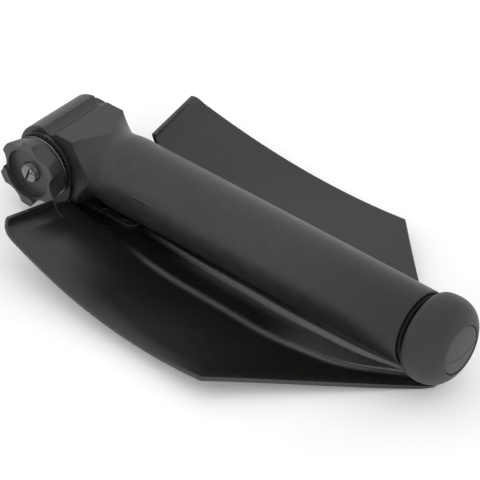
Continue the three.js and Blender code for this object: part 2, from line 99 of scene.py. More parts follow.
def surface(name, field, xs, ys, zs):
    """Quad mesh of field = 0 on a rectilinear grid: one point in each cell the surface crosses."""
    ny, nz = len(ys), len(zs)
    values = field(xs[:, None, None], ys[None, :, None], zs[None, None, :])
    values = np.ascontiguousarray(np.broadcast_to(values, (len(xs), ny, nz)))
    inside = values < 0
    cells, crossings, quads = [], [], []
    for axis in range(3):
        low, high = [slice(None)] * 3, [slice(None)] * 3
        low[axis], high[axis] = slice(0, -1), slice(1, None)
        start = np.argwhere(inside[tuple(low)] != inside[tuple(high)])
        end = start.copy()
        end[:, axis] += 1
        start_value, end_value = values[tuple(start.T)], values[tuple(end.T)]
        share = (start_value / (start_value - end_value))[:, None]
        p, q = (np.stack([xs[e[:, 0]], ys[e[:, 1]], zs[e[:, 2]]], 1) for e in (start, end))
        crossing = p + (q - p) * share
        # the four cells round a crossed grid edge make one quad
        second, third = ((1, 2), (2, 0), (0, 1))[axis]
        around = []
        for second_step, third_step in ((-1, -1), (0, -1), (0, 0), (-1, 0)):
            cell = start.copy()
            cell[:, second] += second_step
            cell[:, third] += third_step
            around.append((cell[:, 0] * (ny - 1) + cell[:, 1]) * (nz - 1) + cell[:, 2])
            cells.append(around[-1])
            crossings.append(crossing)
        quad = np.stack(around, 1)
        quads.append(np.where((start_value < 0)[:, None], quad, quad[:, ::-1]))
    cells, crossings, quads = (np.concatenate(part) for part in (cells, crossings, quads))
    used, inverse = np.unique(cells, return_inverse=True)
    inverse = inverse.ravel()
    count = np.bincount(inverse).astype(float)
    points = np.stack([np.bincount(inverse, weights=crossings[:, a]) / count for a in range(3)], 1)
    faces = np.searchsorted(used, quads)
    longest = 0.6 * min(np.diff(xs).min(), np.diff(ys).min(), np.diff(zs).min())
    points = settle(field, points, 3, longest)

    # even the net out once, halfway toward the middle of the faces round each point
    middle = points[faces].mean(1)
    corners = faces.ravel()
    total = np.stack([np.bincount(corners, weights=np.repeat(middle[:, a], 4),
                                  minlength=len(points)) for a in range(3)], 1)
    count = np.bincount(corners, minlength=len(points)).astype(float)[:, None]
    points = settle(field, points * 0.5 + total / np.maximum(count, 1) * 0.5, 2, longest)
    normals = gradient(field, points)
    normals /= np.maximum(np.linalg.norm(normals, axis=1), 1e-9)[:, None]
    return to_object(name, points, faces, normals)


def steps(*spans):
    """Grid line positions from (start, end, spacing) spans laid end to end."""
    out = []
    for start, end, spacing in spans:
        count = max(1, int(round((end - start) / spacing)))
        out.extend(start + (end - start) * i / count for i in range(count))
    out.append(spans[-1][1])
    return np.array(out, float)


def both(first, second, radius):
    """Intersection of two distance fields with an edge of this radius."""
    round_part = np.hypot(np.maximum(first + radius, 0), np.maximum(second + radius, 0))
    return np.minimum(-radius, np.maximum(first, second)) + round_part


def either(first, second, radius):
    """Union of two distance fields with a fillet of this radius."""
    round_part = np.hypot(np.maximum(radius - first, 0), np.maximum(radius - second, 0))
    return np.maximum(radius, np.minimum(first, second)) - round_part


def ramp(start, end, value):
    """Smooth step from 0 at start to 1 at end."""
    share = np.clip((value - start) / (end - start), 0, 1)
    return share * share * (3 - 2 * share)


# ---------------------------------------------------------------- turned parts
def rounded(profile, radius=0.3, segments=3, closed=True):
    """Profile with curved corners. A point may carry its own radius as a third value."""
    out = []
    count = len(profile)
    for i, point in enumerate(profile):
        own_radius = point[2] if len(point) > 2 else radius
        corner = np.array(point[:2], float)
        if not closed and i in (0, count - 1) or own_radius <= 0:
            out.append(tuple(corner))
            continue
        back = np.array(profile[i - 1][:2], float) - corner
        ahead = np.array(profile[(i + 1) % count][:2], float) - corner
        back_length, ahead_length = np.linalg.norm(back), np.linalg.norm(ahead)
        back, ahead = back / back_length, ahead / ahead_length
        half = math.acos(float(np.clip(back @ ahead, -1, 1))) / 2
        if half > math.radians(86):          # nearly straight
            out.append(tuple(corner))
            continue
        trim = min(own_radius / math.tan(half), 0.45 * back_length, 0.45 * ahead_length)
        start, end = corner + back * trim, corner + ahead * trim
        for k in range(segments + 1):
            t = k / segments
            out.append(tuple((1 - t) ** 2 * start + 2 * t * (1 - t) * corner + t * t * end))
    return out


def lathe(name, profile, axis="x", centre=(0, 0), segments=128, sharp=42, reshape=None,
          closed=True):
    """(along, radius) profile turned about a line parallel to an axis through centre.

    reshape(radius, along, angle) gives new radii; sharp is the hard edge angle in degrees.
    """
    profile = np.array(profile, float)
    count = len(profile)
    turn = np.arange(segments) * 2 * math.pi / segments
    along = np.repeat(profile[None, :, 0], segments, 0)
    radius = np.repeat(profile[None, :, 1], segments, 0)
    angle = np.repeat(turn[:, None], count, 1)
    if reshape is not None:
        radius = reshape(radius, along, angle)
    places = [radius * np.cos(angle) + centre[0], radius * np.sin(angle) + centre[1]]
    places.insert("xyz".index(axis), along)
    faces = []
    for i in range(segments):
        j = (i + 1) % segments
        for k in range(count if closed else count - 1):
            m = (k + 1) % count
            faces.append((i * count + k, i * count + m, j * count + m, j * count + k))
    ob = to_object(name, np.stack(places, -1).reshape(-1, 3), np.array(faces))
    bm = bmesh.new()
    bm.from_mesh(ob.data)
    bmesh.ops.remove_doubles(bm, verts=bm.verts, dist=1e-7)
    bmesh.ops.dissolve_degenerate(bm, edges=bm.edges, dist=1e-8)
    bmesh.ops.recalc_face_normals(bm, faces=bm.faces)
    bm.to_mesh(ob.data)
    bm.free()
    ob.data.shade_smooth()
    ob.data.set_sharp_from_angle(angle=math.radians(sharp))
    return ob


def smooth_line(points, segments):
    """Catmull-Rom through 2-D points."""
    p = [np.array(q, float) for q in points]
    p = [2 * p[0] - p[1]] + p + [2 * p[-1] - p[-2]]
    out = []
    for a, b, c, d in zip(p, p[1:], p[2:], p[3:]):
        for k in range(segments):
            t = k / segments
            out.append(tuple(0.5 * ((2 * b) + (c - a) * t + (2 * a - 5 * b + 4 * c - d) * t * t
                                    + (3 * b - a - 3 * c + d) * t ** 3)))
    out.append(tuple(p[-2]))
    return out


def add_bevel(ob, name, width, angle):
    bevel = ob.modifiers.new(name, "BEVEL")
    bevel.width = width * MM
    bevel.segments = 2
    bevel.limit_method = "ANGLE"
    bevel.angle_limit = math.radians(angle)


# ---------------------------------------------------------------- shader helpers
def new_material(name):
    material = bpy.data.materials.new(name)
    material.use_nodes = True
    tree = material.node_tree
    tree.nodes.clear()
    output = tree.nodes.new("ShaderNodeOutputMaterial")
    shader = tree.nodes.new("ShaderNodeBsdfPrincipled")
    tree.links.new(shader.outputs[0], output.inputs[0])
    return material, tree, shader


def opened(material):
    """Node tree, shader and present colour socket of a finished material."""
    tree = material.node_tree
    shader = next(n for n in tree.nodes if n.type == "BSDF_PRINCIPLED")
    return tree, shader, shader.inputs["Base Color"].links[0].from_socket


def feed(tree, socket, value):
    """Link a socket, or set it to a number or an RGB tuple."""
    if isinstance(value, bpy.types.NodeSocket):
        tree.links.new(value, socket)
    elif isinstance(value, tuple):
        socket.default_value = (*value, 1)
    else:
        socket.default_value = value


def noise(tree, vector, size, detail=3.0, roughness=0.55, stretch=None):
    """Noise with features of this size in millimetres."""
    if stretch is not None:
        mapping = tree.nodes.new("ShaderNodeMapping")
        tree.links.new(vector, mapping.inputs["Vector"])
        mapping.inputs["Scale"].default_value = stretch
        vector = mapping.outputs[0]
    node = tree.nodes.new("ShaderNodeTexNoise")
    tree.links.new(vector, node.inputs["Vector"])
    node.inputs["Scale"].default_value = 1000.0 / size
    node.inputs["Detail"].default_value = detail
    node.inputs["Roughness"].default_value = roughness
    return node.outputs[0]


def remap(tree, value, span, to=(0, 1)):
    node = tree.nodes.new("ShaderNodeMapRange")
    node.clamp = True
    feed(tree, node.inputs["Value"], value)
    for key, number in zip(("From Min", "From Max", "To Min", "To Max"), (*span, *to)):
        node.inputs[key].default_value = number
    return node.outputs["Result"]


def calculate(tree, operation, first, second=0.0):
    node = tree.nodes.new("ShaderNodeMath")
    node.operation = operation
    feed(tree, node.inputs[0], first)
    feed(tree, node.inputs[1], second)
    return node.outputs[0]


def mix_colour(tree, factor, first, second):
    node = tree.nodes.new("ShaderNodeMix")
    node.data_type = "RGBA"
    for key, value in (("Factor", factor), ("A", first), ("B", second)):
        feed(tree, node.inputs[key], value)
    return node.outputs["Result"]


def bump(tree, height, depth, normal=None):
    node = tree.nodes.new("ShaderNodeBump")
    node.inputs["Strength"].default_value = 1.0
    node.inputs["Distance"].default_value = depth * MM
    feed(tree, node.inputs["Height"], height)
    if normal is not None:
        tree.links.new(normal, node.inputs["Normal"])
    return node.outputs["Normal"]


def two_grains(tree, place, coarse, fine):
    """Two layers of bump, each given as (size, depth)."""
    normal = None
    for (size, depth), detail in ((coarse, 2), (fine, 1)):
        height = noise(tree, place, size, detail, roughness=0.5)
        normal = bump(tree, height, depth, normal)
    return normal


def object_place(tree):
    return tree.nodes.new("ShaderNodeTexCoord").outputs["Object"]


def geometry(tree, output):
    return tree.nodes.new("ShaderNodeNewGeometry").outputs[output]


def component(tree, vector, axis):
    node = tree.nodes.new("ShaderNodeSeparateXYZ")
    tree.links.new(vector, node.inputs[0])
    return node.outputs["XYZ".index(axis)]


def attribute(tree, name):
    node = tree.nodes.new("ShaderNodeAttribute")
    node.attribute_name = name
    return node.outputs["Fac"]


def scaled(colour, gain, lift=0.0):
    return tuple(min(1, c * gain + lift) for c in colour)


# ---------------------------------------------------------------- materials
def moulded(name, colour, rough=0.42, grain=(0.9, 0.012), fine=(0.3, 0.004), mottle=0.10,
            specular=0.5, wear=0.10):
    """Moulded polymer: mould grain, slight colour mottle, rubbed edges."""
    material, tree, shader = new_material(name)
    place = object_place(tree)
    cloud = noise(tree, place, size=9.0, detail=4, roughness=0.6)
    speck = noise(tree, place, size=1.1, detail=3, roughness=0.6)
    paint = mix_colour(tree, remap(tree, cloud, span=(0.35, 0.65)),
                       scaled(colour, 1 - mottle), scaled(colour, 1 + mottle))
    paint = mix_colour(tree, remap(tree, speck, span=(0.42, 0.62), to=(0, 0.35)),
                       paint, scaled(colour, gain=1.35, lift=0.004))
    edge = remap(tree, geometry(tree, "Pointiness"), span=(0.515, 0.58), to=(0, wear))
    paint = mix_colour(tree, edge, paint, scaled(colour, gain=2.6, lift=0.03))
    feed(tree, shader.inputs["Base Color"], paint)
    roughness = calculate(
        tree, "ADD", remap(tree, cloud, span=(0.3, 0.7), to=(rough - 0.04, rough + 0.05)),
        remap(tree, speck, span=(0.35, 0.65), to=(-0.03, 0.03)))
    feed(tree, shader.inputs["Roughness"], roughness)
    shader.inputs["Specular IOR Level"].default_value = specular
    feed(tree, shader.inputs["Normal"], two_grains(tree, place, grain, fine))
    return material


def coated(name, colour, rough=0.34, peel=(1.8, 0.007), fine=(0.45, 0.002), wear=0.5):
    """Black coating on pressed steel: orange peel, soft streaks, edges rubbed thin."""
    material, tree, shader = new_material(name)
    place = object_place(tree)
    cloud = noise(tree, place, size=26.0, detail=4, roughness=0.6)
    streak = noise(tree, place, size=7.0, detail=3, roughness=0.5, stretch=(0.5, 1.1, 1.1))
    warm_gain = (1.35, 1.18, 0.92)
    warm = tuple(c * gain for c, gain in zip(colour, warm_gain))
    paint = mix_colour(tree, remap(tree, cloud, span=(0.35, 0.68)), colour, warm)
    paint = mix_colour(tree, remap(tree, streak, span=(0.45, 0.75), to=(0, 0.16)),
                       paint, scaled(colour, gain=1.5, lift=0.001))
    edge = geometry(tree, "Pointiness")
    nick = noise(tree, place, size=3.0, detail=4, roughness=0.7)
    wear_and_painted_light = calculate(tree, "MULTIPLY", remap(tree, edge, span=(0.53, 0.62)),
                    remap(tree, nick, span=(0.35, 0.7), to=(0.25, wear)))
    bare_colour = (0.11, 0.108, 0.104)
    feed(tree, shader.inputs["Base Color"], mix_colour(tree, wear_and_painted_light, paint, bare_colour))
    roughness = calculate(
        tree, "ADD", remap(tree, cloud, span=(0.3, 0.7), to=(rough - 0.015, rough + 0.02)),
        remap(tree, streak, span=(0.4, 0.7), to=(-0.01, 0.015)))
    feed(tree, shader.inputs["Roughness"], roughness)
    shader.inputs["Specular IOR Level"].default_value = 0.5
    feed(tree, shader.inputs["Normal"], two_grains(tree, place, peel, fine))
    return material


def metal(name, colour, rough=0.32, brush=(0.5, 0.004), stretch=(1, 1, 1), stain=0.35):
    """Bare metal: brushed lines of (size, depth), stain patches, brighter edges."""
    material, tree, shader = new_material(name)
    place = object_place(tree)
    cloud = noise(tree, place, size=4.0, detail=5, roughness=0.65)
    lines = noise(tree, place, size=brush[0], detail=3, roughness=0.6, stretch=stretch)
    stain_colour = (0.05, 0.045, 0.04)
    paint = mix_colour(tree, remap(tree, cloud, span=(0.48, 0.74), to=(0, stain)),
                       colour, stain_colour)
    paint = mix_colour(tree, remap(tree, lines, span=(0.35, 0.65), to=(0, 0.22)),
                       paint, scaled(colour, gain=0.62))
    edge = remap(tree, geometry(tree, "Pointiness"), span=(0.52, 0.6), to=(0, 0.25))
    paint = mix_colour(tree, edge, paint, scaled(colour, gain=1.5, lift=0.1))
    feed(tree, shader.inputs["Base Color"], paint)
    shader.inputs["Metallic"].default_value = 1.0
    roughness = calculate(
        tree, "ADD", remap(tree, lines, span=(0.3, 0.7), to=(rough - 0.05, rough + 0.07)),
        remap(tree, cloud, span=(0.5, 0.75), to=(0, 0.12)))
    feed(tree, shader.inputs["Roughness"], roughness)
    feed(tree, shader.inputs["Normal"], bump(tree, lines, depth=brush[1]))
    return material


def show_painted_light_and_shade(material):
    """Painted light and painted shade on the blade: paler coating colour where the mesh carries
    the painted-light attribute, weaker reflections where it carries the painted-shade attribute.
    """
    tree, shader, paint = opened(material)
    patch = noise(tree, object_place(tree), size=5.0, detail=3, roughness=0.6)
    amount = calculate(tree, "MULTIPLY", attribute(tree, "wear_and_painted_light"),
                       remap(tree, patch, span=(0.3, 0.7), to=(0.8, 1.0)))
    # colour of the painted light on the blade
    painted_light_colour = (0.105, 0.104, 0.101)
    tree.links.new(mix_colour(tree, amount, paint, painted_light_colour), shader.inputs["Base Color"])
    # painted shade: the painted-shade attribute lowers the specular level
    shine = remap(tree, attribute(tree, "painted_shade"), span=(0.0, 1.0), to=(0.5, 0.13))
    tree.links.new(shine, shader.inputs["Specular IOR Level"])


def paint_shade_along(material, start, end, colour):
    """Painted shade: blend toward a given darker colour between two places along X."""
    tree, shader, paint = opened(material)
    x = component(tree, object_place(tree), "X")
    span = [float(edge * MM + HINGE[0]) for edge in (start, end)]
    blend = mix_colour(tree, remap(tree, x, span), paint, colour)
    tree.links.new(blend, shader.inputs["Base Color"])


def darken_thread(material, colour):
    """Dark colour on everything that does not face along the bolt."""
    tree, shader, paint = opened(material)
    facing = calculate(tree, "ABSOLUTE", component(tree, geometry(tree, "Normal"), "Y"))
    blend = mix_colour(tree, remap(tree, facing, span=(0.45, 0.85)), colour, paint)
    tree.links.new(blend, shader.inputs["Base Color"])


# grain, fine, peel and brush are (size, depth) in millimetres
HOUSING = moulded("housing_polymer", colour=(0.0235, 0.0245, 0.0255), rough=0.42,
                  grain=(1.0, 0.045), fine=(0.5, 0.014), mottle=0.18)
KNOB = moulded("knob_polymer", colour=(0.033, 0.034, 0.0345), rough=0.44, grain=(1.2, 0.009))
POMMEL = moulded("pommel_polymer", colour=(0.0165, 0.017, 0.017), rough=0.50,
                 grain=(0.95, 0.085), fine=(0.4, 0.02), mottle=0.22)
PLUG = moulded("plug_polymer", colour=(0.031, 0.0315, 0.031), rough=0.48, grain=(0.8, 0.016))
INNER = moulded("inner_polymer", colour=(0.016, 0.0165, 0.017), rough=0.48)
TUBE = moulded("tube_polymer", colour=(0.014, 0.0145, 0.015), rough=0.40, grain=(1.4, 0.008))
RING = moulded("ring_polymer", colour=(0.003, 0.003, 0.0032), rough=0.55, specular=0.25)
SEAL = moulded("seal_rubber", colour=(0.006, 0.006, 0.006), rough=0.62, wear=0.03)
BLADE = coated("blade_coating", colour=(0.0072, 0.0073, 0.0074), rough=0.27,
               peel=(5.0, 0.006), fine=(2.2, 0.0012), wear=0.3)
# painted light and painted shade on the blade's coating
show_painted_light_and_shade(BLADE)
# painted shade: the handle tube darkens toward its far end
paint_shade_along(HOUSING, start=135, end=214, colour=(0.006, 0.0062, 0.0065))
BRACKET = coated("bracket_coating", colour=(0.012, 0.0122, 0.0128), rough=0.38)
BLACK = metal("blackened_steel", colour=(0.045, 0.045, 0.047), rough=0.36, stain=0.2)
TOOTHED = metal("toothed_washer_steel", colour=(0.03, 0.03, 0.031), rough=0.45, stain=0.2)
WASHER = metal("washer_steel", colour=(0.30, 0.30, 0.30), rough=0.28, brush=(0.5, 0.003),
               stretch=(1, 4, 1))
BOLT = metal("bolt_steel", colour=(0.24, 0.24, 0.235), rough=0.30, brush=(0.6, 0.006))
darken_thread(BOLT, colour=(0.028, 0.026, 0.022))
STEEL = metal("bare_steel", colour=(0.42, 0.42, 0.42), rough=0.28, brush=(0.4, 0.004),
              stretch=(0.1, 1, 1))
BRASS = metal("brass", colour=(0.46, 0.33, 0.12), rough=0.3)


def dress(ob, material, body, node=None):
    """Give a piece its material, the body it moves with and the CAD node it replaces."""
    ob.data.materials.append(material)
    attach(ob, body)
    if node:
        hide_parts(node)


# ---------------------------------------------------------------- handle housing
TUBE_START, TUBE_END = 28.4, 212.4
SWELL_END = 37.0                       # the tube is thickest here
NECK_RADIUS, NECK_FILLET = 18.1, 12.0
HEAD_RADIUS, HEAD_HALF_WIDTH = 18.99, 17.95
BORE_RADIUS, BORE_START = 16.0, 26.0
RING_SEAT_RADIUS, RING_SEAT_START = 17.0, 205.8
BOLT_HOLE_RADIUS = 6.75
FLUTE_X, FLUTE_Z, FLUTE_RADIUS = 1.85, 21.62, 4.92


def tube_radius(x):
    taper = np.clip((x - SWELL_END) / (TUBE_END - SWELL_END), 0, 1)
    return NECK_RADIUS + 0.85 * ramp(TUBE_START, SWELL_END, x) - 0.65 * taper


def housing_field(x, y, z):
    rho = np.hypot(y, z - TUBE_AXIS_Z)
    grow = 2.4 * ramp(24.0, 32.0, x)               # opens the head's limits out past the tube
    far_half = ramp(-0.25, 0.25, y)                # the two mould halves meet at y = 0
    head_radius = HEAD_RADIUS - 0.07 * far_half * ramp(2.0, -2.0, x)
    outline = np.hypot(np.minimum(x, 0), z) - head_radius - grow
    flute = FLUTE_RADIUS - np.hypot(x - FLUTE_X, z - FLUTE_Z)
    outline = both(outline, flute, 0.22 + 0.75 * far_half * ramp(0.5, 3.0, x))
    side = np.abs(y) - HEAD_HALF_WIDTH - grow
    fillet_rho = NECK_RADIUS + NECK_FILLET
    torus = NECK_FILLET - np.hypot(x - TUBE_START, rho - fillet_rho)
    neck_face = np.where(rho < fillet_rho, torus, x - (TUBE_START - NECK_FILLET))
    neck = np.where(x < TUBE_START, neck_face, rho - tube_radius(x))
    body = both(both(outline, side, 0.45), neck, 0.35)
    body = both(body, x - TUBE_END, 0.85)
    # thin parting groove along the near half of the flute's +X edge
    groove = np.hypot(x - 6.15, z - 19.0) - 0.2
    body = np.maximum(body, np.where((y > -17.0) & (y < -0.8), -groove, -50.0))
    bore = both(rho - BORE_RADIUS, BORE_START - x, 1.5)
    seat = np.maximum(rho - RING_SEAT_RADIUS, RING_SEAT_START - x)
    body = both(body, -np.minimum(bore, seat), 0.3)
    return both(body, -(np.hypot(x, z) - BOLT_HOLE_RADIUS), 0.3)


housing = surface(
    "handle_shell", housing_field,
    steps((-19.6, -4, 0.34), (-4, 7.4, 0.17), (7.4, 38, 0.36), (38, 207, 3.2), (207, 211, 0.6),
          (211, 213, 0.2)),
    steps((-20.4, 20.4, 0.36)),
    steps((-19.9, 16.2, 0.38), (16.2, 19.4, 0.18), (19.4, 20.3, 0.3)))
dress(housing, HOUSING, "handle", "handle_housing")


def badge():
    """Plain raised badge on the near side of the tube, following its curve."""
    columns, rows = 60, 44
    x_start, x_end = 55.6, 67.9
    angle_start, angle_end = -13.5, 19.5           # degrees above the tube's near side
    corner, height, dish = 1.6, 0.42, 0.2
    half_length = (x_end - x_start) / 2
    half_height = math.radians(angle_end - angle_start) * 18.8 / 2
    points, faces = [], []
    for i in range(columns + 1):
        for j in range(rows + 1):
            u, v = i / columns, j / rows
            x = x_start + (x_end - x_start) * u
            angle = math.radians(angle_start + (angle_end - angle_start) * v)
            over_x = abs(u * 2 - 1) * half_length - (half_length - corner)
            over_y = abs(v * 2 - 1) * half_height - (half_height - corner)
            outside = math.hypot(max(over_x, 0), max(over_y, 0)) - corner
            outside += min(max(over_x, over_y), 0)
            rise = float(ramp(0.0, -0.45, outside)) * height
            rise -= float(ramp(-0.9, -1.3, outside)) * dish
            radius = float(tube_radius(x)) - 0.12 + rise
            points.append((x, -radius * math.cos(angle), TUBE_AXIS_Z + radius * math.sin(angle)))
    for i in range(columns):
        for j in range(rows):
            a = i * (rows + 1) + j
            faces.append((a, a + rows + 1, a + rows + 2, a + 1))
    return to_object("handle_blank_badge", points, np.array(faces))


dress(badge(), HOUSING, "handle")

# ---------------------------------------------------------------- mouth ring, inner tube, pommel
# profiles are (x, distance from the tube's axis, optional corner radius)
RING_PROFILE = [(206.0, 15.35), (206.0, 16.8), (213.4, 16.8, 0.1), (214.0, 16.3, 0.3),
                (214.0, 15.35, 0.4)]
ring = lathe("mouth_wiper_ring", rounded(RING_PROFILE, 0.15), "x", TUBE_CENTRE, 160)
dress(ring, RING, "handle", "tube_mouth_ring")

TUBE_PROFILE = [(48.1, 13.2), (48.1, 15.05, 0.5), (227.8, 15.05), (227.8, 13.2)]
tube = lathe("extension_tube_skin", rounded(TUBE_PROFILE, 0.2), "x", TUBE_CENTRE)
dress(tube, TUBE, "extension", "extension_tube")

POMMEL_OUTER = [(216.45, 19.75), (217.6, 20.45), (219.4, 20.92), (223.0, 21.2), (226.8, 20.72),
                (230.2, 19.25), (232.7, 16.95), (234.3, 14.45), (234.9, 13.15)]
pommel_profile = [(216.12, 15.3), (216.12, 18.9, 0.6),
                  *[(x, radius, 0) for x, radius in smooth_line(POMMEL_OUTER, 7)],
                  (235.0, 12.75, 0.25), (235.0, 12.15, 0.3), (228.2, 12.15), (228.2, 15.3)]


def pommel_seam(radius, along, angle):
    """Faint parting line round the outside."""
    return radius - 0.05 * np.exp(-((along - 225.9) / 0.22) ** 2) * (radius > 18)


pommel = lathe("pommel_cap", rounded(pommel_profile, 0.2), "x", TUBE_CENTRE, 176, sharp=50,
               reshape=pommel_seam)
dress(pommel, POMMEL, "extension", "pommel")

# ---------------------------------------------------------------- end plug and its seal
PLUG_START, PLUG_END, PLUG_RADIUS = 221.0, 235.58, 11.9
DOME_RADIUS = 120.0
SEAL_X, GROOVE_HALF_WIDTH, GROOVE_FLOOR = 230.85, 1.05, 10.7


def plug_field(x, y, z):
    """Shallow dome split by a curved moulded line."""
    rho = np.hypot(y, z - TUBE_AXIS_Z)
    dome = np.hypot(x - (PLUG_END - DOME_RADIUS), rho) - DOME_RADIUS
    above_line = z - (-3.15 + 0.028 * (y - 1.4) ** 2 * np.where(y < 1.4, 0.78, 0.60))
    dome = dome + 0.30 * np.exp(-(above_line / 0.30) ** 2)
    dome = dome + 0.012 * np.maximum(above_line, 0) + 0.02 * np.maximum(-above_line, 0)
    body = both(rho - PLUG_RADIUS, dome, 0.55)
    groove = np.maximum(np.abs(x - SEAL_X) - GROOVE_HALF_WIDTH, GROOVE_FLOOR - rho)
    body = np.maximum(body, -groove)
    body = both(body, PLUG_START - x, 0.4)
    saw_slot = np.maximum(np.abs(y) - 1.0, np.abs(z - TUBE_AXIS_Z) - 11.35)
    return np.maximum(body, -np.maximum(saw_slot, x - 229.5))


plug = surface("end_plug_cap", plug_field, steps((220.5, 233, 0.4), (233, 236.2, 0.2)),
               steps((-12.6, 12.6, 0.26)), steps((-12.4, 13.2, 0.26)))
dress(plug, PLUG, "saw", "end_plug")

seal_profile = [(SEAL_X + 0.8 * math.cos(a), 11.45 + 0.57 * math.sin(a))
                for a in np.arange(20) * math.pi / 10]
seal = lathe("plug_o_ring", seal_profile, "x", TUBE_CENTRE, 96, sharp=80)
dress(seal, SEAL, "saw", "plug_seal")

# ---------------------------------------------------------------- knob
LOBE, PHASE = 60.0, 88.0                          # scallop pitch and start, degrees
SCALLOP_CENTRE, SCALLOP_RADIUS_SQUARED = 24.37, 498.4
CHORD, CHORD_ANGLE = 9.4, math.radians(235.5)     # the face is raised beyond this chord
KNOB_BACK, KNOB_FACE, KNOB_RAISED_FACE = 22.95, 32.15, 34.1


def knob_field(x, y, z):
    out = -y                                       # distance outward along the bolt
    radius = np.hypot(x, z)
    turn = np.mod(np.degrees(np.arctan2(z, x)) - PHASE, LOBE)
    off = np.radians(np.abs(turn - LOBE / 2))      # angle from the nearest scallop's middle
    reach = SCALLOP_CENTRE * np.cos(off)
    square = reach * reach - SCALLOP_RADIUS_SQUARED
    arc = reach - np.sqrt(np.maximum(square, 0))
    scallop = np.where((square > 0) & (off < 0.384), np.clip((17.8 - arc) / 3.2, 0, 1), 0)
    side = 16.1 + 0.196 * np.clip(out - 23.2, 0, 9.2)
    depth = np.where(out < 23.95, 0.25, 0.7 + 0.31 * np.clip(out - 23.95, 0, 8.2))
    rim = (radius - (side - depth * scallop)) * 0.84
    across = x * math.cos(CHORD_ANGLE) + z * math.sin(CHORD_ANGLE)
    raised = both(out - KNOB_RAISED_FACE, CHORD - across, 0.22)
    front = either(out - KNOB_FACE, raised, 0.12)
    body = both(rim, np.maximum(front, KNOB_BACK - out), 0.32)
    pocket = both(radius - 13.1, 29.4 - out, 0.3)
    body = both(body, -pocket, 0.26)
    body = both(body, -(radius - 5.1), 0.2)        # bolt hole
    seat = np.maximum(radius - 8.3, out - 27.6)
    return np.maximum(body, -seat)


knob_lines = steps((-18.4, 18.4, 0.22))
knob_depths = steps((22.6, 24.4, 0.15), (24.4, 29, 0.3), (29, 34.5, 0.16))
knob = surface("clamp_knob", knob_field, knob_lines, -knob_depths[::-1], knob_lines)
dress(knob, KNOB, "knob", "locking_knob")

# ---------------------------------------------------------------- bolt and washers
BOLT_NEAR_END, BOLT_FAR_END = -32.0, 24.0
BOLT_RADIUS, THREAD_PITCH, THREAD_DEPTH = 4.8, 0.9, 0.42
SLOT_ANGLE = math.radians(21.4)
DENTS = [(3.1, 1.2, 0.7), (-0.9, 3.3, 0.45), (0.2, -2.6, 0.4), (-2.6, 0.6, 0.35)]  # x, z, radius


def bolt_field(x, y, z):
    radius = np.hypot(x, z)
    wave = np.mod(y / THREAD_PITCH + np.arctan2(z, x) / (2 * math.pi), 1)
    wave = np.abs(wave * 2 - 1)
    thread = BOLT_RADIUS - THREAD_DEPTH * wave * ramp(-22.0, -24.5, y)
    rod = both(radius - thread, np.maximum(BOLT_NEAR_END - y, y - BOLT_FAR_END), 0.3)
    head = both(both(radius - 9.0, 21.9 - y, 0.2), np.hypot(radius, y - 13.2) - 12.7, 0.4)
    square = np.maximum(np.maximum(np.abs(x), np.abs(z)) - 4.85, np.abs(y - 20.4) - 1.8)
    body = either(np.minimum(rod, square), head, 0.2)
    cosine, sine = math.cos(SLOT_ANGLE), math.sin(SLOT_ANGLE)
    across, along = x * cosine - z * sine, x * sine + z * cosine
    slot = np.maximum(np.abs(across - 0.1) - 0.62, np.abs(y - BOLT_NEAR_END) - 1.5)
    body = both(body, -np.maximum(slot, along - 4.15), 0.12)
    # metal pushed over beside the slot where the end was staked
    burr = np.sqrt(((x - 2.2) / 1.0) ** 2 + ((z - 2.5) / 1.7) ** 2 + ((y + 31.95) / 0.55) ** 2) - 1
    body = either(body, burr * 0.5, 0.25)
    for dent_x, dent_z, dent_radius in DENTS:
        dent = np.sqrt((x - dent_x) ** 2 + (z - dent_z) ** 2 + (y + 32.2) ** 2) - dent_radius
        body = both(body, -dent, 0.12)
    return body


bolt_lines = steps((-9.6, -5.2, 0.4), (-5.2, 5.2, 0.15), (5.2, 9.6, 0.4))
bolt = surface("hinge_bolt_slotted", bolt_field, bolt_lines,
               steps((-32.6, -28.0, 0.13), (-28.0, 18.0, 2.0), (18.0, 26.3, 0.3)), bolt_lines)
dress(bolt, BOLT, "blade_set", "hinge_bolt")

# washer profiles are (y, radius, optional corner radius)
THRUST_PROFILE = [(-22.6, 6.3), (-22.6, 16.0, 0.15), (-22.1, 16.0, 0.15), (-22.1, 6.3)]
thrust = lathe("thrust_washer_rim", rounded(THRUST_PROFILE, 0.1), "y", (0.45, -0.35), 160)
dress(thrust, WASHER, "knob_carrier", "thrust_washer")

TEETH = 36
LOCK_PROFILE = [(-21.55, 5.1), (-21.55, 16.35, 0.1), (-21.4, 16.5, 0.1), (-20.7, 16.5, 0.1),
                (-20.55, 16.35, 0.1), (-20.55, 5.1)]


def cut_teeth(radius, along, angle):
    wave = np.abs(np.mod(angle * TEETH / (2 * math.pi), 1) * 2 - 1)
    return np.where(radius > 10, radius - 0.8 * np.clip(wave * 1.5 - 0.25, 0, 1), radius)


lock = lathe("toothed_lock_washer", rounded(LOCK_PROFILE, 0.05, 2), "y", segments=12 * TEETH,
             sharp=30, reshape=cut_teeth)
dress(lock, TOOTHED, "blade_set", "lock_washer")

HEAD_WASHER_PROFILE = [(20.5, 7.1), (20.5, 11.0, 0.3), (21.65, 11.0, 0.3), (21.65, 7.1)]
head_washer = lathe("bolt_head_washer_disc", rounded(HEAD_WASHER_PROFILE, 0.1), "y", segments=96)
dress(head_washer, BLACK, "blade_set", "bolt_head_washer")

# ---------------------------------------------------------------- hinge bracket
EAR_RADIUS, EAR_DROP, EAR_Y = 16.4, 7.4, 19.25
PLATE_Z, HALF_SHEET = -20.4, 1.0


